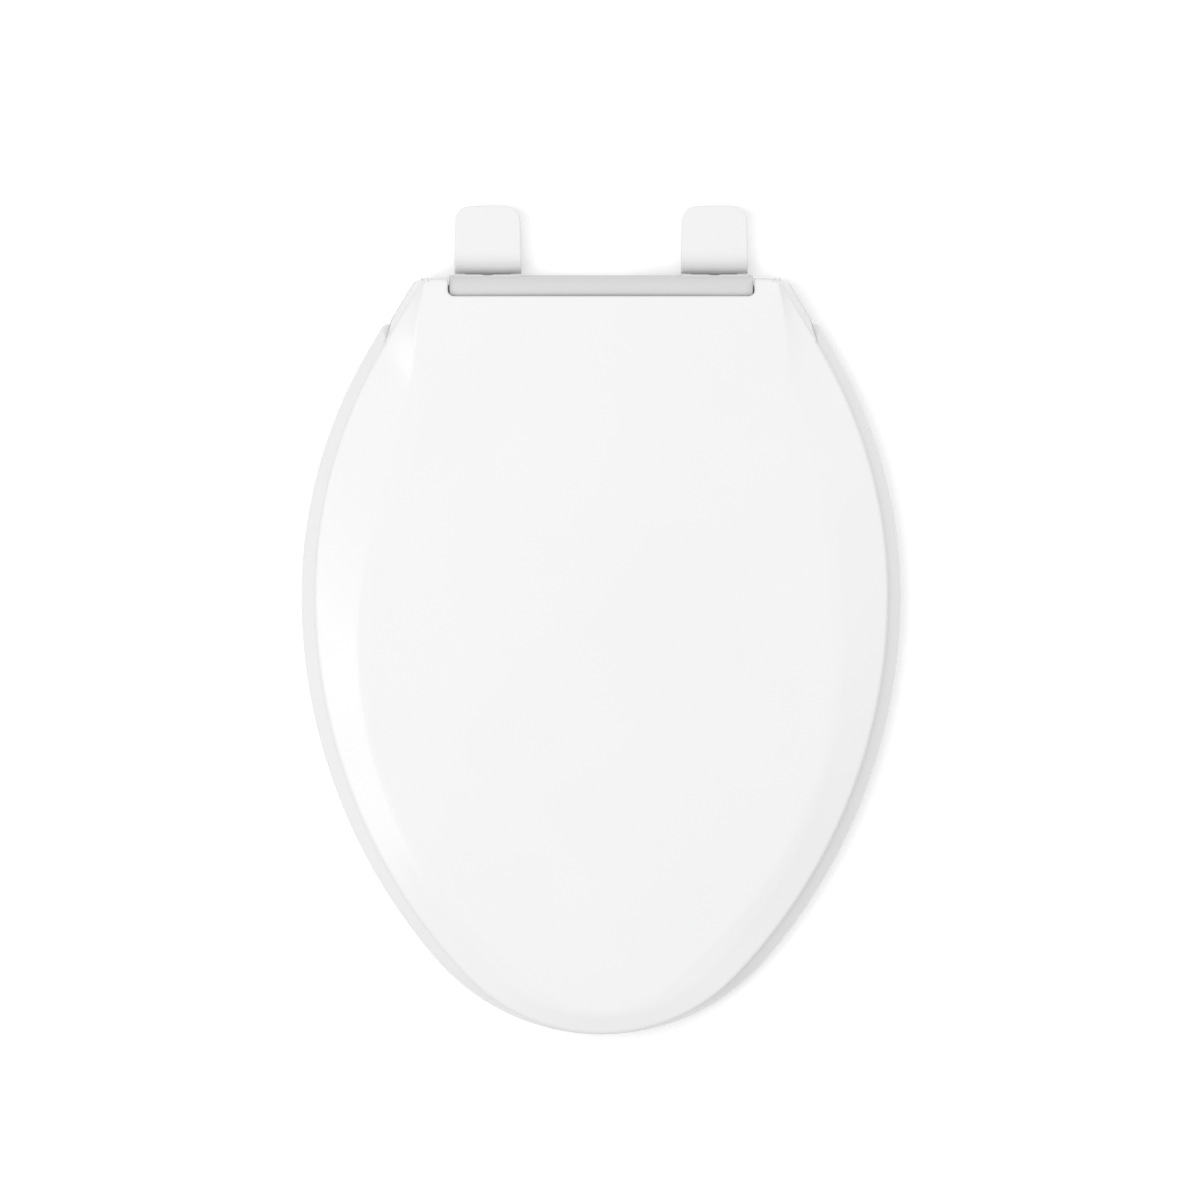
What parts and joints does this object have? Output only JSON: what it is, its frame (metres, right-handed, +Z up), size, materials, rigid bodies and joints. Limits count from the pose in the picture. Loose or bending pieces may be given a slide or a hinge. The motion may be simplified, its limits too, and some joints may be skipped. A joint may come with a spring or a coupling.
{
  "type": "toilet seat",
  "caption": "Closed elongated toilet seat with crowned lid, ring, slow-close hinge barrel and flip-up covers over its mounting bolts.",
  "frame": {"origin": "midway between the two mounting holes, on the plane of the bowl's deck below the foot pads", "axes": "+X to the right seen from the front, +Y to the rear, +Z up; the seat reaches forward along -Y"},
  "size_m": [0.362, 0.4999, 0.0406],
  "materials": {
    "lid_plastic": "glossy white polypropylene",
    "ring_plastic": "glossy white polypropylene",
    "hinge_plastic": "satin white plastic",
    "cover_plastic": "glossy white plastic",
    "pad_rubber": "matte grey rubber",
    "damper_shell": "matte acetal",
    "damper_shaft": "matte acetal",
    "seal_rubber": "black nitrile rubber",
    "bumper_rubber": "soft white rubber"
  },
  "bodies": {
    "hinge_base": {"hinge_bar": "hinge_plastic", "foot_pad_left": "pad_rubber", "foot_pad_right": "pad_rubber", "lid_damper_body": "damper_shell", "lid_damper_cap": "damper_shell", "lid_damper_seal": "seal_rubber", "ring_damper_body": "damper_shell", "ring_damper_cap": "damper_shell", "ring_damper_seal": "seal_rubber"},
    "lid": {"lid": "lid_plastic", "lid_bumper_left": "bumper_rubber", "lid_bumper_right": "bumper_rubber", "lid_damper_rotor": "damper_shaft"},
    "seat_ring": {"seat_ring": "ring_plastic", "ring_bumper_front_left": "bumper_rubber", "ring_bumper_front_right": "bumper_rubber", "ring_bumper_rear_left": "bumper_rubber", "ring_bumper_rear_right": "bumper_rubber", "ring_damper_rotor": "damper_shaft"},
    "hinge_cover_left": {"hinge_cover_left": "cover_plastic"},
    "hinge_cover_right": {"hinge_cover_right": "cover_plastic"}
  },
  "joints": [
    {"name": "lid_hinge", "type": "hinge", "parent": "hinge_base", "child": "lid", "pos_m": [0, -0.0309, 0.022], "axis": [-1, 0, 0], "range_deg": [0, 100]},
    {"name": "ring_hinge", "type": "hinge", "parent": "lid", "child": "seat_ring", "pos_m": [0, -0.0309, 0.022], "axis": [-1, 0, 0], "range_deg": [-100, 0]},
    {"name": "cover_hinge_left", "type": "hinge", "parent": "hinge_base", "child": "hinge_cover_left", "pos_m": [-0.0684, 0.013, 0.0085], "axis": [-1, 0, 0], "range_deg": [0, 90]},
    {"name": "cover_hinge_right", "type": "hinge", "parent": "hinge_base", "child": "hinge_cover_right", "pos_m": [0.0684, 0.013, 0.0085], "axis": [-1, 0, 0], "range_deg": [0, 90]}
  ]
}
